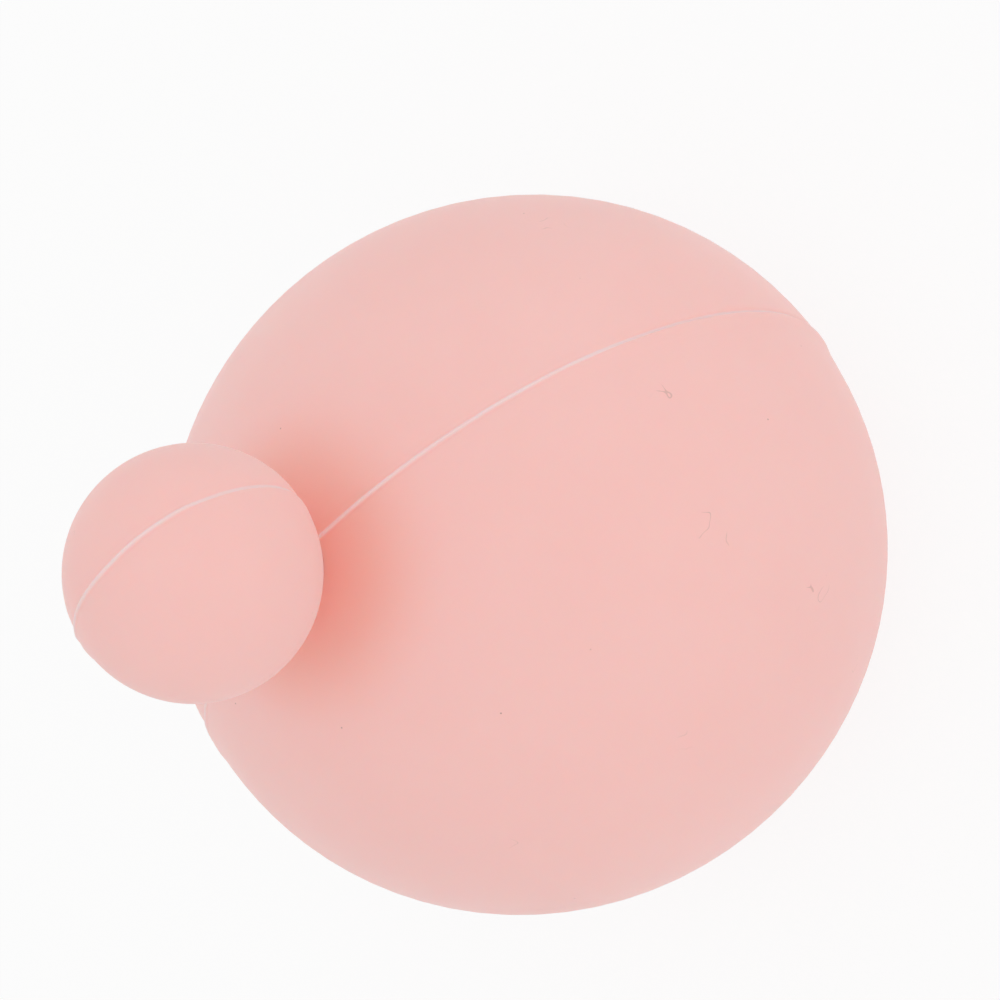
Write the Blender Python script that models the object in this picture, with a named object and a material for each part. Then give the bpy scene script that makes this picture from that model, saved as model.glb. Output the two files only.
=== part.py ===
"""A silicone cupping cup: a hollow ball that is open at its mouth, with a small ball knob on its crown.

Units are metres and +Z is up. The origin is the centre of the mouth, which rests on z = 0, and +Z is
the cup's axis, from the mouth to the knob. Every piece is turned about that axis. The lip stays on the
skin, the wall above it is pressed flatter through the neck, and the knob leans on the neck.
"""

import math

import bmesh
import bpy

# Driving dimensions of the ball and its mouth.
BALL_DIAMETER = 0.070
CENTRE_HEIGHT = 0.021  # from the mouth plane up to the ball's centre
WALL = 0.0025
LIP_HEIGHT = 0.005
FOOT_WIDTH = 0.0016  # of the flat ring that rests on the skin
LIP_OUTER_ROUND = 0.0016
LIP_BEAD_RADIUS = 0.0015

# Driving dimensions of the knob and of the neck that carries it.
KNOB_DIAMETER = 0.0209
KNOB_LIFT = 0.0008  # the least space between the ball and the knob
KNOB_WALL = 0.0018  # around the socket
NECK_DIAMETER = 0.0072
BARB_STEP = 0.0013
BARB_HEIGHT = 0.0026
BARB_NOSE_STEP = 0.0009
FLANGE_STEP = 0.0030
FLANGE_THICKNESS = 0.0016

FIT_GAP = 0.0003  # between two pieces that touch
BALL_SEGMENTS = 72
KNOB_SEGMENTS = 48
WALL_ARC_STEPS = 20
KNOB_ARC_STEPS = 18
SMALL_ARC_STEPS = 5
SHARP_ANGLE = math.radians(40)
WELD = 0.000001

# What follows from them.
BALL_RADIUS = BALL_DIAMETER / 2
INNER_RADIUS = BALL_RADIUS - WALL
CROWN_HEIGHT = CENTRE_HEIGHT + BALL_RADIUS
KNOB_RADIUS = KNOB_DIAMETER / 2
KNOB_BASE = CROWN_HEIGHT + KNOB_LIFT
KNOB_CENTRE = KNOB_BASE + KNOB_RADIUS
NECK_RADIUS = NECK_DIAMETER / 2
NECK_HOLE = NECK_RADIUS + FIT_GAP
BARB_RADIUS = NECK_RADIUS + BARB_STEP
SOCKET_RADIUS = BARB_RADIUS + FIT_GAP
PRESS_HEIGHT = CROWN_HEIGHT
TILT_HEIGHT = CROWN_HEIGHT + KNOB_LIFT / 2

SILICONE_PINK = (0.88, 0.53, 0.50, 1.0)
SILICONE_ROUGHNESS = 0.62


def height_on_sphere(centre, sphere_radius, radius):
    """The height of a sphere's upper side, at a distance from the axis."""
    return centre + math.sqrt(sphere_radius**2 - radius**2)


def radius_on_sphere(centre, sphere_radius, height):
    """A sphere's distance from the axis, at a height."""
    return math.sqrt(sphere_radius**2 - (height - centre) ** 2)


def arc(centre, radius, start, end, steps):
    """Points (distance from the axis, height) on a circle, at angles from straight up towards +X."""
    points = []
    for step in range(steps + 1):
        angle = start + (end - start) * step / steps
        points.append((centre[0] + radius * math.sin(angle), centre[1] + radius * math.cos(angle)))
    return points


def angle_of(centre, point):
    """The angle from straight up towards +X of a point seen from a centre."""
    return math.atan2(point[0] - centre[0], point[1] - centre[1])


def silicone(name):
    """A piece's own matte silicone."""
    material = bpy.data.materials.new(name)
    material.use_nodes = True
    shader = material.node_tree.nodes["Principled BSDF"]
    shader.inputs["Base Color"].default_value = SILICONE_PINK
    shader.inputs["Roughness"].default_value = SILICONE_ROUGHNESS
    shader.inputs["Metallic"].default_value = 0.0
    return material


def turned(name, profile, closed, origin_height, segments, parent):
    """A solid turned about Z, with its origin on the axis at origin_height."""
    shape = bmesh.new()
    points = [shape.verts.new((radius, 0.0, height - origin_height)) for radius, height in profile]
    edges = [shape.edges.new(pair) for pair in zip(points, points[1:])]
    if closed:
        edges.append(shape.edges.new((points[-1], points[0])))
    bmesh.ops.spin(
        shape,
        geom=points + edges,
        cent=(0.0, 0.0, 0.0),
        axis=(0.0, 0.0, 1.0),
        angle=math.tau,
        steps=segments,
        use_merge=True,
    )
    bmesh.ops.remove_doubles(shape, verts=shape.verts, dist=WELD)
    bmesh.ops.recalc_face_normals(shape, faces=shape.faces)
    mesh = bpy.data.meshes.new(name)
    shape.to_mesh(mesh)
    shape.free()
    mesh.shade_smooth()
    mesh.set_sharp_from_angle(angle=SHARP_ANGLE)
    mesh.materials.append(silicone(name))
    piece = bpy.data.objects.new(name, mesh)
    bpy.context.collection.objects.link(piece)
    piece.parent = parent
    piece.location.z = origin_height - height_of(parent)
    return piece


def height_of(parent):
    """The world height of an empty, or 0 for no parent."""
    height = 0.0
    while parent:
        height += parent.location.z
        parent = parent.parent
    return height


def pivot(name, height, parent):
    """An empty on the axis that a moving piece hangs from."""
    empty = bpy.data.objects.new(name, None)
    empty.empty_display_size = KNOB_RADIUS
    bpy.context.collection.objects.link(empty)
    empty.parent = parent
    empty.location.z = height - height_of(parent)
    return empty


def lip_profile():
    """The thick rounded lip: the ball's own outside, a flat foot, and a bead round the mouth."""
    ball_centre = (0.0, CENTRE_HEIGHT)
    # The outer round touches both the ball's outside and the mouth plane.
    round_centre = (
        radius_on_sphere(CENTRE_HEIGHT, BALL_RADIUS - LIP_OUTER_ROUND, LIP_OUTER_ROUND),
        LIP_OUTER_ROUND,
    )
    top_outside = (radius_on_sphere(CENTRE_HEIGHT, BALL_RADIUS, LIP_HEIGHT), LIP_HEIGHT)
    top_inside = (radius_on_sphere(CENTRE_HEIGHT, INNER_RADIUS, LIP_HEIGHT), LIP_HEIGHT)
    tangent_angle = angle_of(ball_centre, round_centre)
    foot_inside = round_centre[0] - FOOT_WIDTH
    outside = arc(
        ball_centre, BALL_RADIUS, angle_of(ball_centre, top_outside), tangent_angle, SMALL_ARC_STEPS
    )
    outer_round = arc(round_centre, LIP_OUTER_ROUND, tangent_angle, math.pi, SMALL_ARC_STEPS)
    bead = arc((foot_inside, LIP_BEAD_RADIUS), LIP_BEAD_RADIUS, math.pi, math.tau, 2 * SMALL_ARC_STEPS)
    return outside + outer_round[1:] + bead + [top_inside]


def wall_profile():
    """The even wall from the lip up to the round hole in the crown that the neck goes through."""
    centre = (0.0, CENTRE_HEIGHT)
    foot = LIP_HEIGHT + FIT_GAP
    outer_top = (NECK_HOLE, height_on_sphere(CENTRE_HEIGHT, BALL_RADIUS, NECK_HOLE))
    outer_foot = (radius_on_sphere(CENTRE_HEIGHT, BALL_RADIUS, foot), foot)
    inner_top = (NECK_HOLE, height_on_sphere(CENTRE_HEIGHT, INNER_RADIUS, NECK_HOLE))
    inner_foot = (radius_on_sphere(CENTRE_HEIGHT, INNER_RADIUS, foot), foot)
    outside = arc(
        centre, BALL_RADIUS, angle_of(centre, outer_top), angle_of(centre, outer_foot), WALL_ARC_STEPS
    )
    inside = arc(
        centre, INNER_RADIUS, angle_of(centre, inner_foot), angle_of(centre, inner_top), WALL_ARC_STEPS
    )
    return outside + inside


def barb_foot():
    """Where the barb starts: as low as the socket leaves the knob its wall."""
    return KNOB_CENTRE - math.sqrt((KNOB_RADIUS - KNOB_WALL) ** 2 - SOCKET_RADIUS**2)


def neck_profile():
    """The neck: a barb inside the knob, a round shank through the crown, and a flange under the crown."""
    barb_top = barb_foot() + BARB_HEIGHT
    flange_radius = NECK_RADIUS + FLANGE_STEP
    flange_sphere = INNER_RADIUS - FIT_GAP
    centre = (0.0, CENTRE_HEIGHT)
    flange_start = (NECK_RADIUS, height_on_sphere(CENTRE_HEIGHT, flange_sphere, NECK_RADIUS))
    flange_edge = (flange_radius, height_on_sphere(CENTRE_HEIGHT, flange_sphere, flange_radius))
    under = flange_sphere - FLANGE_THICKNESS
    under_edge = (flange_radius, height_on_sphere(CENTRE_HEIGHT, under, flange_radius))
    barb = [
        (0.0, barb_top),
        (BARB_RADIUS - BARB_NOSE_STEP, barb_top),
        (BARB_RADIUS, barb_top - BARB_NOSE_STEP),
        (BARB_RADIUS, barb_foot()),
        (NECK_RADIUS, barb_foot()),
    ]
    flange_top = arc(
        centre,
        flange_sphere,
        angle_of(centre, flange_start),
        angle_of(centre, flange_edge),
        SMALL_ARC_STEPS,
    )
    flange_under = arc(centre, under, angle_of(centre, under_edge), 0.0, SMALL_ARC_STEPS)
    return barb + flange_top + flange_under


def knob_profile():
    """The ball knob, with the barb's socket open at its base."""
    centre = (0.0, KNOB_CENTRE)
    mouth = (NECK_HOLE, KNOB_CENTRE - math.sqrt(KNOB_RADIUS**2 - NECK_HOLE**2))
    socket_foot = barb_foot() - FIT_GAP
    socket_top = barb_foot() + BARB_HEIGHT + FIT_GAP
    outside = arc(centre, KNOB_RADIUS, 0.0, angle_of(centre, mouth), KNOB_ARC_STEPS)
    socket = [
        (NECK_HOLE, socket_foot),
        (SOCKET_RADIUS, socket_foot),
        (SOCKET_RADIUS, socket_top - BARB_NOSE_STEP),
        (SOCKET_RADIUS - BARB_NOSE_STEP, socket_top),
        (0.0, socket_top),
    ]
    return outside + socket


def build_cup():
    """The two pieces that stay on the skin: the lip, and the wall that flattens above it."""
    turned("mouth_lip", lip_profile(), True, 0.0, BALL_SEGMENTS, None)
    turned("dome_wall", wall_profile(), True, 0.0, BALL_SEGMENTS, None)


def build_knob():
    """The two pieces that move: the neck slides down with the crown, and the knob leans on the neck."""
    press = pivot("press_slide", PRESS_HEIGHT, None)
    turned("neck_stud", neck_profile(), False, PRESS_HEIGHT, KNOB_SEGMENTS, press)
    tilt = pivot("knob_tilt_pivot", TILT_HEIGHT, press)
    turned("ball_knob", knob_profile(), False, TILT_HEIGHT, KNOB_SEGMENTS, tilt)


def main():
    for old in list(bpy.data.objects):
        bpy.data.objects.remove(old, do_unlink=True)
    build_cup()
    build_knob()


main()
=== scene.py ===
# %% [markdown]
# # A silicone cupping cup
# The real cup is one soft moulding: a hollow ball, open at a thick-lipped mouth, with a ball knob on
# its crown. Two mould halves meet in one plane, and leave a fine raised line over both balls. Nothing
# on it is hard or shiny, so the look rests on three things: true round shapes, that line, and a matte
# skin that lets a little light in. The script follows that order, and each step starts with a note.
#
# First the measured frame is loaded.

# %% Load the measured frame
import math

import bpy
from mathutils import Matrix, Vector, noise


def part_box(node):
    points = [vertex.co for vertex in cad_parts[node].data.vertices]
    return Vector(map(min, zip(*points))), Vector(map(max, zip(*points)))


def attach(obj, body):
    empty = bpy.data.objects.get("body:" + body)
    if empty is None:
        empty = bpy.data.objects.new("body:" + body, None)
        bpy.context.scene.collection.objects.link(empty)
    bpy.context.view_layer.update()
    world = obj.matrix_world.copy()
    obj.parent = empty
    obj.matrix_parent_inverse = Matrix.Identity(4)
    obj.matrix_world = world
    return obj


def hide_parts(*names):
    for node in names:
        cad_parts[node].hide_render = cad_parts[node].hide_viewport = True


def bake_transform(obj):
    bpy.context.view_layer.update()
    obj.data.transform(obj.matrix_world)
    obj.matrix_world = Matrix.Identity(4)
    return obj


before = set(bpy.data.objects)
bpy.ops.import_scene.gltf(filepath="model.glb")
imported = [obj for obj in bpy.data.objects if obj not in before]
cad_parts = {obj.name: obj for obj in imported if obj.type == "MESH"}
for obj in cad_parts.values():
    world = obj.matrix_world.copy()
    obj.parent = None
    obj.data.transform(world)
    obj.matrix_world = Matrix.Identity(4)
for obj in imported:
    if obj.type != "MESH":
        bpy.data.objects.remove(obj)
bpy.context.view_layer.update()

MM = 0.001  # in metres

# %% [markdown]
# ## Sizes from the frame
# The frame holds the measured pieces. The looks never resize them: the ball, the knob and the lip are
# read from the boxes of their nodes, so a visible skin always lies where its solid does. A box says
# nothing of a wall's thickness or of the gap under the knob, so those two are written down here.

# %% Read the main sizes
wall_low, wall_high = (Vector(corner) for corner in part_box("dome_wall"))
lip_low, lip_high = (Vector(corner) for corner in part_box("mouth_lip"))
knob_low, knob_high = (Vector(corner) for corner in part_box("ball_knob"))
neck_low, neck_high = (Vector(corner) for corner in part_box("neck_stud"))

KNOB_LIFT = 0.8 * MM
WALL = 2.5 * MM
BALL_RADIUS = (wall_high.x - wall_low.x) / 2
KNOB_RADIUS = (knob_high.x - knob_low.x) / 2
KNOB_CENTRE = knob_high.z - KNOB_RADIUS
CROWN = KNOB_CENTRE - KNOB_RADIUS - KNOB_LIFT
BALL_CENTRE = CROWN - BALL_RADIUS
LIP_TOP = (lip_high.z + wall_low.z) / 2
INNER_RADIUS = BALL_RADIUS - WALL
FLANGE_RADIUS = (neck_high.x - neck_low.x) / 2
print(f"ball {2 * BALL_RADIUS / MM:.1f} mm, knob {2 * KNOB_RADIUS / MM:.1f} mm, crown {CROWN / MM:.1f} mm")

# %% [markdown]
# ## The camera
# A long lens looks down on the cup from the knob's side and is turned a quarter round, so that the
# cup's axis runs across the view and the knob stands in front of the ball, at the left. A camera's
# axes are the columns of its rotation matrix: right, up, and back towards the viewer. Writing the
# matrix is surer than aiming with angles, because nothing then depends on the order of turns.

# %% Place the camera
CAMERA_FROM_BALL = Vector((2.647, -1.881, 4.629))  # in ball radii
CAMERA_RIGHT = Vector((0.627, -0.516, -0.584))
CAMERA_UP = Vector((0.629, 0.777, -0.011))
LENS = 72.0  # in millimetres, as the sensor
SENSOR = 36.0
NEAREST, FARTHEST = 0.01, 20.0  # metres that the camera sees between


def place_camera():
    right = CAMERA_RIGHT.normalized()
    up = (CAMERA_UP - CAMERA_UP.dot(right) * right).normalized()
    back = right.cross(up)
    camera = bpy.data.objects.new("camera", bpy.data.cameras.new("camera"))
    bpy.context.scene.collection.objects.link(camera)
    place = Vector((0.0, 0.0, BALL_CENTRE)) + BALL_RADIUS * CAMERA_FROM_BALL
    turn = Matrix((right, up, back)).transposed().to_4x4()
    camera.matrix_world = Matrix.Translation(place) @ turn
    camera.data.lens = LENS
    camera.data.sensor_width = SENSOR
    camera.data.clip_start = NEAREST
    camera.data.clip_end = FARTHEST
    bpy.context.scene.camera = camera
    return camera


camera = place_camera()
print("camera", [round(x, 4) for x in camera.location])

# %% [markdown]
# ## How the skins are made
# A turned shape is a grid: rings round the axis, and columns that run from ring to ring. A plain lathe
# spaces its columns evenly, and would need thousands of them to hold a line 0.3 mm wide. Here the
# columns crowd together beside the parting line, at fixed distances from its plane, and are even
# elsewhere. The line is then real geometry, and shows in the outline as it does on the moulding.

# %% Space the points across the parting line
BESIDE_LINE = (0.05, 0.1, 0.15, 0.2, 0.26, 0.33, 0.5, 0.9, 1.4, 1.9, 2.4, 2.9, 3.5)  # in millimetres
CROWDED_ABOVE = 4.0 * MM  # rings smaller than this squeeze the crowded columns together
EVEN_COLUMNS = 44

one_side = [x * MM for x in BESIDE_LINE]
SEAM_OFFSETS = [-x for x in reversed(one_side)] + [0.0] + one_side


def ring_angles(radius):
    """Angles round the axis at which a ring of this radius has its points."""
    squeeze = min(1.0, radius / CROWDED_ABOVE)
    crowded = [math.asin(x * squeeze / radius) for x in SEAM_OFFSETS]
    edge = crowded[-1]
    step = (math.pi - 2 * edge) / EVEN_COLUMNS
    even = [edge + step * k for k in range(1, EVEN_COLUMNS)]
    half = crowded + even
    return half + [math.pi + angle for angle in half]


print(len(ring_angles(BALL_RADIUS)), "columns in each ring")

# %% [markdown]
# ## The parting line
# Where the two mould halves meet, a little silicone creeps between them: a thin fin stands up, a hair
# wide, with a shallow crease at each side. A bell curve across the line gives each of them a soft
# edge, and a slow noise along it keeps the fin from being too perfect. Near the two ends of the line,
# which face +X and -X, the fin was trimmed off, and a notch is left in its place.

# %% Shape the fin
FIN_HEIGHT = 0.15 * MM
FIN_HALF_WIDTH = 0.16 * MM
FIN_UNEVEN = 0.5  # share of its height that comes and goes
UNEVEN_LENGTH = 2.5 * MM
CREASE_DEPTH = 0.035 * MM
CREASE_AT = 0.4 * MM
CREASE_HALF_WIDTH = 0.16 * MM
NOTCH_DEPTH = 0.18 * MM
NOTCH_HALF_WIDTH = 0.3 * MM
ENDS_FROM, ENDS_FULL = 0.72, 0.9  # of the radius, along X


def bell(x, reach):
    return math.exp(-((x / reach) ** 2))


def smooth(x, low, high):
    t = min(1.0, max(0.0, (x - low) / (high - low)))
    return t * t * (3 - 2 * t)


def line_rise(point, radius):
    """How far the fin, its creases or the notch stand off the surface."""
    end = smooth(abs(point.x) / radius, ENDS_FROM, ENDS_FULL)
    uneven = 1.0 + FIN_UNEVEN * noise.noise(point / UNEVEN_LENGTH)
    fin = FIN_HEIGHT * uneven * bell(point.y, FIN_HALF_WIDTH)
    crease = CREASE_DEPTH * bell(abs(point.y) - CREASE_AT, CREASE_HALF_WIDTH)
    notch = NOTCH_DEPTH * bell(point.y, NOTCH_HALF_WIDTH)
    return (1 - end) * (fin - crease) - end * notch


print(f"fin {FIN_HEIGHT / MM:.2f} mm high, notch {NOTCH_DEPTH / MM:.2f} mm deep")

# %% [markdown]
# ### The steps at the ends
# At each end of the line the two mould halves didn't meet quite true. The half that faces -Y stands a
# little proud beside the line, and the other falls a little short. The steps are only 0.05 to 0.24 mm
# high, but an outline shows them, so they are real geometry as well: points near the line slide along
# X, fully at the end and not at all half-way round.

# %% Shape the steps
STEP_START = 0.2 * MM
STEP_LEAD = 0.2  # how much sooner than the notch a step begins, of the radius
STEP_EDGE = 6  # the power that makes a step end more abruptly than a bell does
# For each end: how proud the half facing -Y stands, how short the other falls, how far from the line.
BALL_STEPS = {1: (0.18 * MM, 0.0, 1.5 * MM), -1: (0.22 * MM, 0.24 * MM, 2.0 * MM)}
KNOB_STEPS = {1: (0.05 * MM, 0.05 * MM, 1.4 * MM), -1: (0.22 * MM, 0.08 * MM, 1.6 * MM)}


def end_step(point, radius, steps):
    """The move along X of a point beside the line, near one of its two ends."""
    side = 1 if point.x > 0 else -1
    proud, short, reach = steps[side]
    height = proud if point.y < 0 else -short
    start = min(1.0, abs(point.y) / STEP_START)
    held = math.exp(-((point.y / reach) ** STEP_EDGE))
    end = smooth(abs(point.x) / radius, ENDS_FROM - STEP_LEAD, ENDS_FULL)
    return Vector((side * height * start * held * end, 0.0, 0.0))


print("highest step", max(step[0] for step in BALL_STEPS.values()) / MM, "mm")

# %% [markdown]
# ## Profiles
# A profile is a list of steps. Each holds a distance from the axis, a height, the direction in which
# the surface faces there, and how strongly the parting line shows: fully outside, not at all inside,
# where the mould's core was one piece. Round stretches are arcs, so their directions come for free.

# %% Make profiles from arcs
SIDEWAYS = 90.0  # degrees from straight up
STRAIGHT_DOWN = 180.0
FULL_TURN = 360.0
# How a plain step ends: its direction outwards, its direction upwards, and no parting line.
FACES_OUT = (1.0, 0.0, 0.0)
FACES_UP = (0.0, 1.0, 0.0)
FACES_DOWN = (0.0, -1.0, 0.0)


def arc(centre, radius, start, end, steps, line=0.0, facing=1.0):
    """Profile steps along an arc. Angles run from straight up towards the outside, in degrees."""
    made = []
    for k in range(steps + 1):
        angle = math.radians(start + (end - start) * k / steps)
        across, up = math.sin(angle), math.cos(angle)
        place = (centre[0] + radius * across, centre[1] + radius * up)
        made.append((*place, facing * across, facing * up, line))
    return made


def angle_at_height(radius, height):
    """The angle, from the crown, at which a circle round the ball's centre passes a height."""
    return math.degrees(math.acos((height - BALL_CENTRE) / radius))


def angle_at_radius(radius, distance):
    """The angle, from the crown, at which a circle round the ball's centre is this far out."""
    return math.degrees(math.asin(distance / radius))


print(f"the lip starts {angle_at_height(BALL_RADIUS, LIP_TOP):.0f} degrees down from the crown")

# %% [markdown]
# ## From a step to a ring of points
# Each profile step becomes one ring. The parting line is raised on it along the surface's direction,
# and the end steps are added. Soft mouldings are seldom truly round: this ball is drawn out by nearly
# 2% along the parting plane, and the half that faces -Y a little less so towards +X.

# %% Make a ring
OVAL_X = 1.018
OVAL_Y = 0.9915
NARROWER = 0.005  # how much less the half facing -Y is drawn out towards +X
NARROWER_OVER = 4 * MM  # the distance from the line over which that sets in


def ring_points(step, oval):
    """The points of one ring, with the parting line raised on it."""
    radius, height, out, up, line = step
    points = []
    for angle in ring_angles(radius):
        c, s = math.cos(angle), math.sin(angle)
        point = Vector((radius * c, radius * s, height))
        if line:
            rise = line * line_rise(point, BALL_RADIUS) * Vector((out * c, out * s, up))
            point = point + rise + line * end_step(point, BALL_RADIUS, BALL_STEPS)
        if oval:
            narrower = NARROWER * smooth(-point.y, 0.0, NARROWER_OVER) * smooth(point.x, 0.0, BALL_RADIUS)
            point = Vector((point.x * (OVAL_X - narrower), point.y * OVAL_Y, point.z))
        points.append(point)
    return points


widest = ring_points((BALL_RADIUS, BALL_CENTRE, 1.0, 0.0, 1.0), True)
print(f"widest ring {(max(p.x for p in widest) - min(p.x for p in widest)) / MM:.2f} mm along X")

# %% [markdown]
# ## From rings to a mesh
# Faces join each ring to the next. A step on the axis becomes one point, joined to its neighbour ring
# by triangles. A profile that never reaches the axis closes on itself, so every skin is a closed
# solid. Smooth shading hides the grid, and edges sharper than a limit stay crisp.

# %% Join rings and finish a mesh
SHARP_ANGLE = 40.0  # degrees


def join_rings(first, second, count):
    """Faces between two rows of points; a row with one point is a pole."""
    faces = []
    for k in range(count):
        n = (k + 1) % count
        if len(first) == 1:
            faces.append((first[0], second[k], second[n]))
        elif len(second) == 1:
            faces.append((first[k], second[0], first[n]))
        else:
            faces.append((first[k], second[k], second[n], first[n]))
    return faces


def finish_mesh(name, points, faces):
    """A smooth-shaded object made of these points and faces."""
    mesh = bpy.data.meshes.new(name)
    mesh.from_pydata(points, [], faces)
    mesh.validate()
    mesh.shade_smooth()
    mesh.set_sharp_from_angle(angle=math.radians(SHARP_ANGLE))
    made = bpy.data.objects.new(name, mesh)
    bpy.context.scene.collection.objects.link(made)
    print(name, len(mesh.vertices), "points,", len(mesh.polygons), "faces")
    return made


def turned_skin(name, profile, oval=False):
    """A closed skin turned about Z, from a profile that runs down its outside."""
    points, rows = [], []
    for step in profile:
        new = ring_points(step, oval) if step[0] > 0 else [Vector((0.0, 0.0, step[1]))]
        rows.append(list(range(len(points), len(points) + len(new))))
        points += new
    count = max(len(row) for row in rows)
    closed = len(rows[0]) > 1
    faces = []
    for k in range(len(rows) if closed else len(rows) - 1):
        faces += join_rings(rows[k], rows[(k + 1) % len(rows)], count)
    return finish_mesh(name, points, faces)


print("two rows of three points make", len(join_rings((0, 1, 2), (3, 4, 5), 3)), "faces")

# %% [markdown]
# ## The dome
# The wall of the ball, from the hole that the neck grows through down to the lip. Its outside carries
# the parting line, and runs on over the lip to where the foot's round starts: two skins that meet in
# plain sight show a faint dark seam, because light that has soaked into one can't leave by the other.

# %% Build the dome
NECK_HOLE = 3.25 * MM
RING_STEP = 1.3  # degrees between the rings of the wall
OUTER_ROUND = 1.6 * MM  # of the foot's outer edge, an arc that touches both the ball and the floor
ROUND_REACH = BALL_RADIUS - OUTER_ROUND
ROUND_OUT = math.sqrt(ROUND_REACH**2 - (BALL_CENTRE - OUTER_ROUND) ** 2)
ROUND_CENTRE = (ROUND_OUT, OUTER_ROUND)
TOUCH_ANGLE = angle_at_height(ROUND_REACH, OUTER_ROUND)


def build_dome():
    outer = (angle_at_radius(BALL_RADIUS, NECK_HOLE), TOUCH_ANGLE)
    inner = (angle_at_height(INNER_RADIUS, LIP_TOP), angle_at_radius(INNER_RADIUS, NECK_HOLE))
    steps = round((outer[1] - outer[0]) / RING_STEP)
    centre = (0.0, BALL_CENTRE)
    profile = arc(centre, BALL_RADIUS, *outer, steps, line=1.0)
    profile += arc(centre, INNER_RADIUS, *inner, steps // 2, facing=-1.0)
    dome = turned_skin("dome_skin", profile, oval=True)
    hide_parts("dome_wall")
    return dome


dome = build_dome()

# %% [markdown]
# ## The lip
# The wall swells to a bead round the mouth, rounded inside and out, with a narrow flat foot between.
# The outer round takes over from the ball without a corner. The lip stays on the skin whatever the
# dome does.

# %% Build the lip
FOOT_WIDTH = 1.6 * MM
BEAD_RADIUS = 1.5 * MM
BEAD_END = 395.0  # degrees: once round the bead's inside, and a little over its top
WALL_RUN = 0.6 * MM  # the height of inner wall that belongs to the lip
FAINTER_LINE = 0.8  # the parting line's share of its full height on the small rounds
ROUND_STEPS = 8
BEAD_STEPS = 24
WALL_STEPS = 3


def build_lip():
    foot_inside = ROUND_CENTRE[0] - FOOT_WIDTH
    profile = arc(ROUND_CENTRE, OUTER_ROUND, TOUCH_ANGLE, STRAIGHT_DOWN, ROUND_STEPS, line=FAINTER_LINE)
    profile += arc((foot_inside, BEAD_RADIUS), BEAD_RADIUS, STRAIGHT_DOWN, BEAD_END, BEAD_STEPS)
    inner_end = angle_at_height(INNER_RADIUS, LIP_TOP)
    inner_start = angle_at_height(INNER_RADIUS, LIP_TOP - WALL_RUN)
    profile += arc((0.0, BALL_CENTRE), INNER_RADIUS, inner_start, inner_end, WALL_STEPS, facing=-1.0)
    lip = turned_skin("lip_skin", profile, oval=True)
    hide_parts("mouth_lip")
    return lip


lip = build_lip()

# %% [markdown]
# ## The neck's fillet
# Between the two balls the surface is one hollow round fillet that touches both. Its radius isn't
# free: a circle that touches two balls and leaves a neck of a given thickness has one size only, and
# halving an interval finds it. The knob's lower half is a little flat, and near the axis such a flat
# ball matches a larger round one.

# %% Find the fillet
NECK_RADIUS = 3.0 * MM
KNOB_FLATTENING = 0.96  # of the knob's lower half, along the axis
UNDERSIDE_RADIUS = KNOB_RADIUS / KNOB_FLATTENING
UNDERSIDE_CENTRE = KNOB_CENTRE - KNOB_RADIUS * KNOB_FLATTENING + UNDERSIDE_RADIUS
JUST_WIDER = 1.001  # than half the gap, the smallest circle that touches both balls
WIDEST_FILLET = 8.0 * MM
HALVINGS = 60


def fillet_circle():
    """(centre, radius) of the circle that touches both balls and leaves the neck its radius."""
    span = UNDERSIDE_CENTRE - BALL_CENTRE
    half_gap = (span - BALL_RADIUS - UNDERSIDE_RADIUS) / 2
    low, high = JUST_WIDER * half_gap, WIDEST_FILLET
    for _ in range(HALVINGS):
        radius = (low + high) / 2
        to_ball, to_knob = BALL_RADIUS + radius, UNDERSIDE_RADIUS + radius
        rise = (span**2 + to_ball**2 - to_knob**2) / (2 * span)
        distance = math.sqrt(to_ball**2 - rise**2)
        if distance - radius < NECK_RADIUS:
            low = radius
        else:
            high = radius
    return (distance, BALL_CENTRE + rise), radius


print(f"fillet radius {fillet_circle()[1] / MM:.2f} mm, neck {2 * NECK_RADIUS / MM:.1f} mm thick")

# %% [markdown]
# ## The neck
# The visible part of the neck is the fillet. Above it, a tip is buried in the knob. Below it, a shank
# fills the hole in the wall, and ends under the crown in a low round flange that can't be pulled
# through. The edges lie a hundredth of a millimetre deep in the balls, so no gap shows.

# %% Build the neck
SUNK = 0.012 * MM  # how deep the neck's edges lie in the balls
NECK_PLAY = 0.02 * MM  # between the neck and the wall round it
TIP_DEPTH = 0.55  # of the knob's radius, below its centre
TIP_WIDTH = 0.8  # of the fillet's upper end
FLANGE_THICKNESS = 1.6 * MM
FLANGE_ROUND = 0.7 * MM
FILLET_STEPS = 20
UNDER_STEPS = 6


def tip_steps(fillet):
    """The end that is buried in the knob."""
    height = KNOB_CENTRE - TIP_DEPTH * KNOB_RADIUS
    return [(0.0, height, *FACES_UP), (TIP_WIDTH * fillet[0][0], height, *FACES_UP)]


def shank_steps():
    """The stretch through the wall, and the flange's upper rim."""
    radius = NECK_HOLE - NECK_PLAY
    under_skin = BALL_CENTRE + math.sqrt((BALL_RADIUS - SUNK) ** 2 - radius**2)
    flange_top = INNER_RADIUS - NECK_PLAY
    foot_angle = angle_at_radius(flange_top, radius)
    foot = BALL_CENTRE + flange_top * math.cos(math.radians(foot_angle))
    rim = BALL_CENTRE + math.sqrt(flange_top**2 - FLANGE_RADIUS**2)
    places = [(radius, under_skin), (radius, foot), (FLANGE_RADIUS, rim)]
    return [(*place, *FACES_OUT) for place in places]


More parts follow.
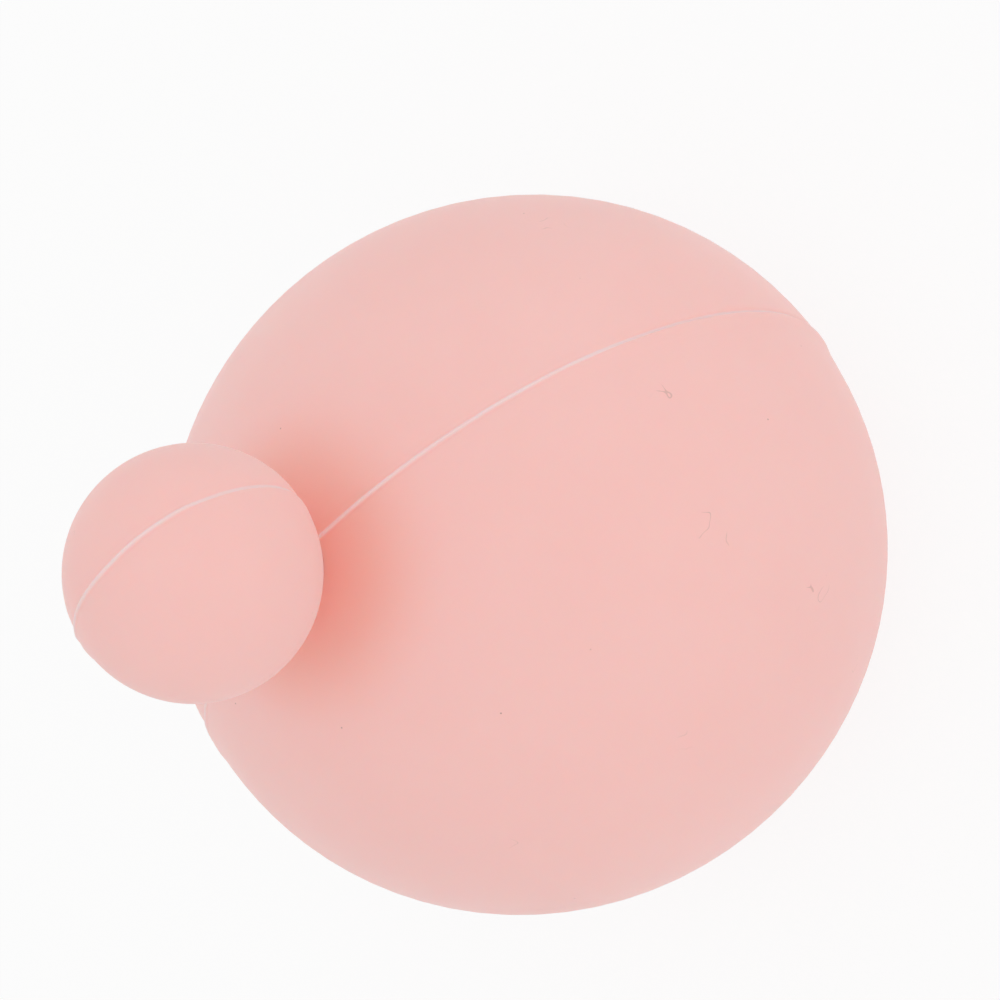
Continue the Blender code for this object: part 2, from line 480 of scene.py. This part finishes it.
def flange_steps():
    """The flange's round edge and its underside, which follows the ball."""
    edge_out = FLANGE_RADIUS - FLANGE_ROUND
    under = INNER_RADIUS - FLANGE_THICKNESS
    edge_angle = angle_at_radius(under + FLANGE_ROUND, edge_out)
    edge_height = BALL_CENTRE + (under + FLANGE_ROUND) * math.cos(math.radians(edge_angle))
    edge = arc((edge_out, edge_height), FLANGE_ROUND, SIDEWAYS, STRAIGHT_DOWN + edge_angle, ROUND_STEPS)
    underside = arc((0.0, BALL_CENTRE), under, edge_angle, 0.0, UNDER_STEPS, facing=-1.0)[1:-1]
    return edge + underside + [(0.0, BALL_CENTRE + under, *FACES_DOWN)]


def build_neck():
    centre, radius = fillet_circle()
    to_knob = FULL_TURN + math.degrees(math.atan2(-centre[0], UNDERSIDE_CENTRE - centre[1]))
    to_ball = STRAIGHT_DOWN + math.degrees(math.atan2(centre[0], centre[1] - BALL_CENTRE))
    fillet = arc(centre, radius + SUNK, to_knob, to_ball, FILLET_STEPS, line=FAINTER_LINE, facing=-1.0)
    neck = turned_skin("neck_skin", tip_steps(fillet) + fillet + shank_steps() + flange_steps())
    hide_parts("neck_stud")
    return neck


neck = build_neck()

# %% [markdown]
# ## The knob
# The knob's line runs over its top as well, where a lathe's columns would all meet. So its grid is
# turned a quarter: the poles lie at the two sides, and the parting line is the widest ring. On its
# way to +X that line wanders a little towards +Y, so the rings beside it are bent to follow: each
# point slides along the ball, most at the line and not at all at the poles.

# %% Build the knob
KNOB_COLUMNS = 144
KNOB_RINGS = 30
KNOB_DRIFT = 0.6 * MM  # how far the knob's line wanders towards +Y on its way to +X
DRIFT_FROM = -0.1 * KNOB_RADIUS  # where along X it starts to


def knob_latitudes():
    """Angles from the parting plane: crowded beside it, even up to the poles."""
    crowded = [math.asin(x / KNOB_RADIUS) for x in SEAM_OFFSETS]
    edge = crowded[-1]
    rest = [edge + (math.pi / 2 - edge) * k / KNOB_RINGS for k in range(1, KNOB_RINGS)]
    return [-x for x in reversed(rest)] + crowded + rest


def knob_point(latitude, turn):
    """One point of the knob, with its line, its steps and its flatter lower half."""
    flat = math.cos(latitude)
    drift = KNOB_DRIFT * smooth(KNOB_RADIUS * flat * math.cos(turn), DRIFT_FROM, KNOB_RADIUS)
    moved = math.asin(math.sin(latitude) + drift / KNOB_RADIUS * flat**2)
    flat = math.cos(moved)
    out = Vector((flat * math.cos(turn), math.sin(moved), flat * math.sin(turn)))
    point = KNOB_RADIUS * out
    from_line = point - Vector((0.0, drift, 0.0))
    step = end_step(from_line, KNOB_RADIUS, KNOB_STEPS)
    point = point + line_rise(from_line, KNOB_RADIUS) * out + step
    flatter = KNOB_FLATTENING if point.z < 0 else 1.0
    return Vector((point.x, point.y, KNOB_CENTRE + flatter * point.z))


def build_knob():
    points = [Vector((0.0, -KNOB_RADIUS, KNOB_CENTRE))]
    rows = [[0]]
    for latitude in knob_latitudes():
        rows.append(list(range(len(points), len(points) + KNOB_COLUMNS)))
        points += [knob_point(latitude, math.tau * k / KNOB_COLUMNS) for k in range(KNOB_COLUMNS)]
    points.append(Vector((0.0, KNOB_RADIUS, KNOB_CENTRE)))
    rows.append([len(points) - 1])
    faces = []
    for first, second in zip(rows, rows[1:]):
        faces += join_rings(first, second, KNOB_COLUMNS)
    knob = finish_mesh("knob_skin", points, faces)
    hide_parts("ball_knob")
    return knob


knob = build_knob()

# %% [markdown]
# ## Shader groups
# The pieces share one finish with small differences, so its effects are node groups with named inputs
# and outputs: the fine grain that the mould leaves, the paler fin of the parting line, a painted coral
# shade in the gap under the knob, and dust. They hand out values only. The shader itself, and all
# that is the same all over, stays in each material. An empty group with its sockets takes several calls, so
# one helper makes it.

# %% A helper for node groups
def new_group(name, inputs, outputs):
    """A shader node group with named float or vector inputs and float outputs."""
    group = bpy.data.node_groups.new(name, "ShaderNodeTree")
    for label, kind, value in inputs:
        socket = group.interface.new_socket(label, in_out="INPUT", socket_type=kind)
        if kind == "NodeSocketFloat":
            socket.default_value = value
    for label in outputs:
        group.interface.new_socket(label, in_out="OUTPUT", socket_type="NodeSocketFloat")
    print("group", name, "makes", ", ".join(outputs))
    return group, group.nodes.new("NodeGroupInput"), group.nodes.new("NodeGroupOutput")


print("groups are made by", new_group.__name__)

# %% [markdown]
# ### One node at a time
# A node tree written out call by call is hard to read. Each of these helpers makes one node, feeds it
# links or plain numbers, and returns its output, so a chain of nodes reads like a formula.

# %% Helpers for single nodes
def feed(tree, value, socket):
    """Link an output to a socket, or set the socket to a plain number."""
    if isinstance(value, bpy.types.NodeSocket):
        tree.links.new(value, socket)
    else:
        socket.default_value = value


def math_node(tree, operation, first, second=None):
    """A Math node whose inputs are links or plain numbers. Returns its output."""
    node = tree.nodes.new("ShaderNodeMath")
    node.operation = operation
    feed(tree, first, node.inputs[0])
    if second is not None:
        feed(tree, second, node.inputs[1])
    return node.outputs["Value"]


def noise_node(tree, vector, scale, detail=2.0, roughness=0.5):
    """A Noise Texture, as a value about 0.5. Returns its output."""
    node = tree.nodes.new("ShaderNodeTexNoise")
    node.inputs["Detail"].default_value = detail
    node.inputs["Roughness"].default_value = roughness
    tree.links.new(vector, node.inputs["Vector"])
    feed(tree, scale, node.inputs["Scale"])
    return node.outputs["Fac"]


def map_range(tree, value, low, high, new_low=0.0, new_high=1.0):
    """A smooth Map Range, clamped. Returns its output."""
    node = tree.nodes.new("ShaderNodeMapRange")
    node.interpolation_type = "SMOOTHSTEP"
    tree.links.new(value, node.inputs["Value"])
    numbers = {"From Min": low, "From Max": high, "To Min": new_low, "To Max": new_high}
    for label, number in numbers.items():
        feed(tree, number, node.inputs[label])
    return node.outputs["Result"]


print("nodes are made by", math_node.__name__, noise_node.__name__, map_range.__name__)

# %% [markdown]
# ### Mould grain
# A polished mould would make silicone glossy. This one was blasted with fine grit, which leaves dimples
# about 0.15 mm apart, under slower swells about a centimetre across where the skin cured unevenly.
# A texture's scale is in features per metre here, because the pieces are modelled in metres.

# %% Mould grain group
GRAIN_SCALE = 6500.0
SWELL_SCALE = 110.0
MOTTLE_SCALE = 60.0


def mould_grain_group():
    group, source, result = new_group(
        "mould_grain",
        [
            ("Vector", "NodeSocketVector", None),
            ("Grain Scale", "NodeSocketFloat", GRAIN_SCALE),
            ("Swell Scale", "NodeSocketFloat", SWELL_SCALE),
        ],
        ["Grain", "Swell", "Mottle"],
    )
    vector = source.outputs["Vector"]
    grain = noise_node(group, vector, source.outputs["Grain Scale"], detail=2.0, roughness=0.6)
    swell = noise_node(group, vector, source.outputs["Swell Scale"], detail=1.0)
    mottle = noise_node(group, vector, MOTTLE_SCALE, detail=4.0, roughness=0.55)
    group.links.new(grain, result.inputs["Grain"])
    group.links.new(swell, result.inputs["Swell"])
    group.links.new(mottle, result.inputs["Mottle"])
    return group


MOULD_GRAIN = mould_grain_group()

# %% [markdown]
# ### The pale fin
# The fin is so thin that light passes through it, and it looks paler and greyer than the skin beside
# it. The mask follows the parting plane, y = 0, with a soft edge, and wavers a little in strength.

# %% Parting line group
USUAL_HALF_WIDTH = 0.14 * MM
SOFT_FROM, SOFT_TO = 0.55, 1.45  # of the half width, where the fin's edge fades
WAVER_SCALE = 320.0
MIDDLE_LOW, MIDDLE_HIGH = 0.3, 0.7  # the range that nearly all of a noise lies in
FAINTEST = 0.78  # the fin's strength where it is weakest


def parting_line_group():
    group, source, result = new_group(
        "parting_line",
        [("Vector", "NodeSocketVector", None), ("Half Width", "NodeSocketFloat", USUAL_HALF_WIDTH)],
        ["Fin"],
    )
    split = group.nodes.new("ShaderNodeSeparateXYZ")
    group.links.new(source.outputs["Vector"], split.inputs["Vector"])
    across = math_node(group, "ABSOLUTE", split.outputs["Y"])
    half = source.outputs["Half Width"]
    inner = math_node(group, "MULTIPLY", half, SOFT_FROM)
    outer = math_node(group, "MULTIPLY", half, SOFT_TO)
    band = map_range(group, across, inner, outer, 1.0, 0.0)
    waver = noise_node(group, source.outputs["Vector"], WAVER_SCALE)
    strength = map_range(group, waver, MIDDLE_LOW, MIDDLE_HIGH, FAINTEST, 1.0)
    group.links.new(math_node(group, "MULTIPLY", band, strength), result.inputs["Fin"])
    return group


PARTING_LINE = parting_line_group()

# %% [markdown]
# ### The painted crevice shade
# Round the neck, in the gap under the knob, the skin is painted a deeper coral over about a centimetre:
# painted shade and bounced light, where the knob shuts out part of the room. The mask is one round the
# crown's middle, out to the core, and falls smoothly to nothing at the reach.

# %% Painted crevice shade group
# where the painted coral shade round the neck is full, and where it has faded to nothing
CREVICE_SHADE_CORE = 6.5 * MM
CREVICE_SHADE_REACH = 15.5 * MM


def painted_crevice_shade_group():
    group, source, result = new_group(
        "painted_crevice_shade",
        [
            ("Vector", "NodeSocketVector", None),
            ("Core", "NodeSocketFloat", CREVICE_SHADE_CORE),
            ("Reach", "NodeSocketFloat", CREVICE_SHADE_REACH),
        ],
        ["Depth"],
    )
    apart = group.nodes.new("ShaderNodeVectorMath")
    apart.operation = "DISTANCE"
    apart.inputs[1].default_value = (0.0, 0.0, CROWN)
    group.links.new(source.outputs["Vector"], apart.inputs[0])
    core, reach = source.outputs["Core"], source.outputs["Reach"]
    depth = map_range(group, apart.outputs["Value"], core, reach, 1.0, 0.0)
    group.links.new(depth, result.inputs["Depth"])
    return group


PAINTED_CREVICE_SHADE = painted_crevice_shade_group()

# %% [markdown]
# ### Dust
# Soft silicone holds dust. A Voronoi pattern scatters round specks, and only some of its cells keep
# theirs. Lint is the thin line along which a noise passes its middle value, kept in a few small
# patches only, so it comes out as short curled hairs.

# %% Dust group
SPECK_SCALE = 330.0
SPECK_SIZE = 0.035  # of a cell
SPECK_CORE = 0.5  # of the speck, before its edge fades
CELLS_EMPTY = 0.6  # the share of cells without a speck
CURL_SCALE = 420.0
NOISE_MIDDLE = 0.5
HAIR_CORE, HAIR_EDGE = 0.004, 0.009  # how far from the middle value a hair is solid, and ends
PATCH_SCALE = 150.0
PATCH_FROM, PATCH_FULL = 0.69, 0.73


def dust_group():
    group, source, result = new_group(
        "dust",
        [
            ("Vector", "NodeSocketVector", None),
            ("Scale", "NodeSocketFloat", SPECK_SCALE),
            ("Size", "NodeSocketFloat", SPECK_SIZE),
        ],
        ["Specks", "Lint"],
    )
    vector, size = source.outputs["Vector"], source.outputs["Size"]
    cells = group.nodes.new("ShaderNodeTexVoronoi")
    group.links.new(vector, cells.inputs["Vector"])
    group.links.new(source.outputs["Scale"], cells.inputs["Scale"])
    core = math_node(group, "MULTIPLY", size, SPECK_CORE)
    speck = map_range(group, cells.outputs["Distance"], core, size, 1.0, 0.0)
    split = group.nodes.new("ShaderNodeSeparateColor")
    group.links.new(cells.outputs["Color"], split.inputs["Color"])
    kept = math_node(group, "GREATER_THAN", split.outputs["Red"], CELLS_EMPTY)
    group.links.new(math_node(group, "MULTIPLY", speck, kept), result.inputs["Specks"])
    curl = noise_node(group, vector, CURL_SCALE, detail=1.0)
    off_middle = math_node(group, "ABSOLUTE", math_node(group, "SUBTRACT", curl, NOISE_MIDDLE))
    hair = map_range(group, off_middle, HAIR_CORE, HAIR_EDGE, 1.0, 0.0)
    patch = map_range(group, noise_node(group, vector, PATCH_SCALE), PATCH_FROM, PATCH_FULL)
    group.links.new(math_node(group, "MULTIPLY", hair, patch), result.inputs["Lint"])
    return group


DUST = dust_group()

# %% [markdown]
# ## Placing groups and mixing colours
# A group is placed in a material as one node, with its own values. Colours are then laid over each
# other with Mix nodes, as a painter would: each layer has a mask and a colour. On the knob the line
# wanders, so there the mask needs places that are measured from the line and not from the plane.

# %% Helpers for materials
def place_group(tree, group, vector, **values):
    """A group as a node of this material. Its values go by their names, with _ for a space."""
    node = tree.nodes.new("ShaderNodeGroup")
    node.node_tree = group
    tree.links.new(vector, node.inputs["Vector"])
    for label, value in values.items():
        node.inputs[label.replace("_", " ")].default_value = value
    return node


COLOUR_A, COLOUR_B, COLOUR_RESULT = 6, 7, 2  # where a Mix node keeps its colour sockets


def mix_colour(tree, factor, first, second):
    """The first colour, with the second laid over it where the factor is one."""
    node = tree.nodes.new("ShaderNodeMix")
    node.data_type = "RGBA"
    tree.links.new(factor, node.inputs["Factor"])
    for place, colour in ((COLOUR_A, first), (COLOUR_B, second)):
        plain = isinstance(colour, tuple)
        feed(tree, (*colour, 1.0) if plain else colour, node.inputs[place])
    return node.outputs[COLOUR_RESULT]


def drifted(tree, place):
    """The place, with Y measured from the knob's wandering line."""
    split = tree.nodes.new("ShaderNodeSeparateXYZ")
    tree.links.new(place, split.inputs["Vector"])
    drift = map_range(tree, split.outputs["X"], DRIFT_FROM, KNOB_RADIUS, 0.0, KNOB_DRIFT)
    joined = tree.nodes.new("ShaderNodeCombineXYZ")
    tree.links.new(split.outputs["X"], joined.inputs["X"])
    tree.links.new(math_node(tree, "SUBTRACT", split.outputs["Y"], drift), joined.inputs["Y"])
    tree.links.new(split.outputs["Z"], joined.inputs["Z"])
    return joined.outputs["Vector"]


print("layers are made by", place_group.__name__, mix_colour.__name__, drifted.__name__)

# %% [markdown]
# ## The silicone
# The colour is a saturated coral pink. It looks paler on the cup, because a thin white reflection of
# the room lies over it, strongest where the surface turns away. In the gap under the knob, light has
# bounced from pink to pink several times, and there the coral shows; a painted coral shade round the
# neck deepens it further. A little subsurface scattering carries red further than green and blue, and
# softens every shadow edge.

# %% Colours and plain values of the silicone
SKIN_PALE = (0.965, 0.565, 0.530)
SKIN_DEEP = (0.960, 0.551, 0.514)
FIN_PALE = (0.90, 0.665, 0.66)
# painted shade: the deeper coral laid round the neck, in the gap under the knob
CREVICE_SHADE_CORAL = (0.970, 0.49, 0.42)
DUST_BROWN = (0.40, 0.24, 0.19)
SPECKS_SHOW = 0.7
LINT_SHOWS = 0.35
ROUGHNESS = 0.55
ROUGHNESS_SWING = 0.05  # either way, with the swells
GRAIN_STRENGTH = 0.35
GRAIN_HEIGHT = 0.02 * MM
SILICONE_SOCKETS = {
    "Metallic": 0.0,
    "IOR": 1.45,
    "Subsurface Weight": 0.3,
    "Subsurface Radius": (1.0, 0.2, 0.12),
    "Subsurface Scale": 2.0 * MM,
    "Sheen Weight": 0.15,
    "Sheen Roughness": 0.5,
}
print(len(SILICONE_SOCKETS), "plain values, roughness", ROUGHNESS)

# %% [markdown]
# ### Building the material
# What is the same all over goes straight onto the shader's sockets. Only colour, roughness and the
# bump's height vary over the skin, and come from nodes. All of them read the piece's own coordinates,
# so the pattern stays put on the silicone when it moves.

# %% Silicone material
def silicone_colour(tree, place, grain, line_half_width, painted_shade, drift):
    """The layers of colour, from the mottled skin up to the dust."""
    mottled = map_range(tree, grain.outputs["Mottle"], MIDDLE_LOW, MIDDLE_HIGH)
    colour = mix_colour(tree, mottled, SKIN_DEEP, SKIN_PALE)
    # Painted shade: a deeper coral round the neck, in the gap under the knob.
    if painted_shade:
        shade_mask = place_group(tree, PAINTED_CREVICE_SHADE, place)
        colour = mix_colour(tree, shade_mask.outputs["Depth"], colour, CREVICE_SHADE_CORAL)
    along = drifted(tree, place) if drift else place
    line = place_group(tree, PARTING_LINE, along, Half_Width=line_half_width)
    colour = mix_colour(tree, line.outputs["Fin"], colour, FIN_PALE)
    dust = place_group(tree, DUST, place)
    specks = math_node(tree, "MULTIPLY", dust.outputs["Specks"], SPECKS_SHOW)
    lint = math_node(tree, "MULTIPLY", dust.outputs["Lint"], LINT_SHOWS)
    return mix_colour(tree, math_node(tree, "MAXIMUM", specks, lint), colour, DUST_BROWN)


def silicone(name, line_half_width, painted_shade=False, drift=False):
    """A matte silicone with its own width of line, and a painted crevice shade or a wandering line if asked.
    """
    material = bpy.data.materials.new(name)
    material.use_nodes = True
    tree = material.node_tree
    shader = tree.nodes["Principled BSDF"]
    place = tree.nodes.new("ShaderNodeTexCoord").outputs["Object"]
    grain = place_group(tree, MOULD_GRAIN, place)
    colour = silicone_colour(tree, place, grain, line_half_width, painted_shade, drift)
    tree.links.new(colour, shader.inputs["Base Color"])
    smoothest, roughest = ROUGHNESS - ROUGHNESS_SWING, ROUGHNESS + ROUGHNESS_SWING
    rough = map_range(tree, grain.outputs["Swell"], MIDDLE_LOW, MIDDLE_HIGH, smoothest, roughest)
    tree.links.new(rough, shader.inputs["Roughness"])
    for label, value in SILICONE_SOCKETS.items():
        shader.inputs[label].default_value = value
    bump = tree.nodes.new("ShaderNodeBump")
    bump.inputs["Strength"].default_value = GRAIN_STRENGTH
    bump.inputs["Distance"].default_value = GRAIN_HEIGHT
    tree.links.new(grain.outputs["Grain"], bump.inputs["Height"])
    tree.links.new(bump.outputs["Normal"], shader.inputs["Normal"])
    return material


print("each finish lays root, fin and dust over a mottled skin")

# %% [markdown]
# ## One finish for each skin
# The line is a touch narrower on the knob and the neck than on the ball. The painted coral shade of the
# gap under the knob is needed only where the neck grows out of the dome, and the wandering line only on the
# knob.

# %% Give each skin its finish
BALL_LINE = 0.17 * MM  # half the width that shows pale
KNOB_LINE = 0.16 * MM

# the dome and the neck carry the painted coral shade of the gap under the knob
dome.data.materials.append(silicone("dome_finish", BALL_LINE, painted_shade=True))
lip.data.materials.append(silicone("lip_finish", BALL_LINE))
neck.data.materials.append(silicone("neck_finish", KNOB_LINE, painted_shade=True))
knob.data.materials.append(silicone("knob_finish", KNOB_LINE, drift=True))
print("materials", [m.name for m in bpy.data.materials])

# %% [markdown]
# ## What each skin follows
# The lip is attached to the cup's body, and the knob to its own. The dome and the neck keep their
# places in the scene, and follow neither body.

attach(lip, "cup")
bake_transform(dome)
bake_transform(neck)
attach(knob, "knob")

# %% [markdown]
# ## The floor
# The cup stands on a pale floor. Paint alone would never show it white without too much light on the
# cup, so part of what the camera sees of the floor is its own glow, and the rest keeps a faint shadow.
# The same holds for what a mirror or glass would show of it. Further out the glow takes over, so the
# floor runs into the white of the tent without an edge.

# %% Floor
FLOOR_SIZE = 6.0
FLOOR_DROP = 0.02 * MM  # so that the foot and the floor aren't in one plane
FLOOR_GREY = (0.9, 0.9, 0.9, 1.0)
FLOOR_GLOW = 0.85  # the share of the floor's look that is plain white to the camera
FADE_FROM, FADE_TO = 0.12, 0.4  # metres from the cup; beyond, the floor is as white as the tent


def seen_directly(tree):
    """One for rays from the camera, or from it by way of a mirror or glass."""
    path = tree.nodes.new("ShaderNodeLightPath")
    mirrored = math_node(tree, "MAXIMUM", path.outputs["Is Glossy Ray"], path.outputs["Is Transmission Ray"])
    return math_node(tree, "MAXIMUM", path.outputs["Is Camera Ray"], mirrored)


def floor_material():
    material = bpy.data.materials.new("floor_white")
    material.use_nodes = True
    tree = material.node_tree
    tree.nodes.clear()
    diffuse = tree.nodes.new("ShaderNodeBsdfDiffuse")
    diffuse.inputs["Color"].default_value = FLOOR_GREY
    glow = tree.nodes.new("ShaderNodeEmission")
    mix = tree.nodes.new("ShaderNodeMixShader")
    out = tree.nodes.new("ShaderNodeOutputMaterial")
    away = tree.nodes.new("ShaderNodeVectorMath")
    away.operation = "LENGTH"
    tree.links.new(tree.nodes.new("ShaderNodeTexCoord").outputs["Object"], away.inputs[0])
    glowing = map_range(tree, away.outputs["Value"], FADE_FROM, FADE_TO, FLOOR_GLOW, 1.0)
    tree.links.new(math_node(tree, "MULTIPLY", seen_directly(tree), glowing), mix.inputs["Fac"])
    tree.links.new(diffuse.outputs["BSDF"], mix.inputs[1])
    tree.links.new(glow.outputs["Emission"], mix.inputs[2])
    tree.links.new(mix.outputs["Shader"], out.inputs["Surface"])
    return material


def build_floor():
    half = FLOOR_SIZE / 2
    mesh = bpy.data.meshes.new("floor")
    corners = [(-half, -half), (half, -half), (half, half), (-half, half)]
    mesh.from_pydata([(x, y, -FLOOR_DROP) for x, y in corners], [], [(0, 1, 2, 3)])
    floor = bpy.data.objects.new("floor", mesh)
    bpy.context.scene.collection.objects.link(floor)
    mesh.materials.append(floor_material())
    return floor


floor = build_floor()
print(f"floor {FLOOR_SIZE:.0f} m across")

# %% [markdown]
# ## The world
# A white tent lights the cup softly from all round. What the camera sees of it is plain white, as on
# the floor, while the light that falls on the cup comes from a slightly weaker one.

# %% World
WORLD_STRENGTH = 0.85
WHITE = (1.0, 1.0, 1.0, 1.0)


def light_world():
    world = bpy.data.worlds.new("white_tent")
    world.use_nodes = True
    tree = world.node_tree
    tree.nodes.clear()
    light = tree.nodes.new("ShaderNodeBackground")
    light.inputs["Color"].default_value = WHITE
    light.inputs["Strength"].default_value = WORLD_STRENGTH
    seen = tree.nodes.new("ShaderNodeBackground")
    seen.inputs["Color"].default_value = WHITE
    mix = tree.nodes.new("ShaderNodeMixShader")
    out = tree.nodes.new("ShaderNodeOutputWorld")
    tree.links.new(seen_directly(tree), mix.inputs["Fac"])
    tree.links.new(light.outputs["Background"], mix.inputs[1])
    tree.links.new(seen.outputs["Background"], mix.inputs[2])
    tree.links.new(mix.outputs["Shader"], out.inputs["Surface"])
    bpy.context.scene.world = world


light_world()
print("world", bpy.context.scene.world.name)

# %% [markdown]
# ## The lamps
# Three wide disks add what the tent leaves out: a little more light from the side that the camera
# looks from, from above, and from the far side. Wide lamps close by give soft edges to every shadow.
# They stay at a plain level, so colours render about as written and nothing clips.

# %% Lamps
LAMPS = (  # name, place, size in metres, watts
    ("side_lamp", (0.43, -0.42, 0.08), 0.4, 0.44),
    ("top_lamp", (0.0, 0.0, 0.62), 0.25, 0.13),
    ("far_lamp", (0.40, 0.42, 0.17), 0.4, 0.17),
)


def soft_lamp(name, place, size, watts):
    """A disk lamp that faces the middle of the ball."""
    data = bpy.data.lights.new(name, "AREA")
    data.shape = "DISK"
    data.size = size
    data.energy = watts
    lamp = bpy.data.objects.new(name, data)
    bpy.context.scene.collection.objects.link(lamp)
    lamp.location = place
    towards = Vector((0.0, 0.0, BALL_CENTRE)) - Vector(place)
    lamp.rotation_euler = towards.to_track_quat("-Z", "Y").to_euler()
    return lamp


for lamp_row in LAMPS:
    print("lamp", soft_lamp(*lamp_row).name)

# %% [markdown]
# ## View settings
# The Standard view shows colours as they are. A pale skin in a narrow gap needs many bounces of light
# before its coral shows, so their number is raised.

# %% View settings
DIFFUSE_BOUNCES = 10
ALL_BOUNCES = 16

scene = bpy.context.scene
scene.view_settings.view_transform = "Standard"
scene.cycles.diffuse_bounces = DIFFUSE_BOUNCES
scene.cycles.max_bounces = ALL_BOUNCES
print("view", scene.view_settings.view_transform, "with", scene.cycles.diffuse_bounces, "diffuse bounces")
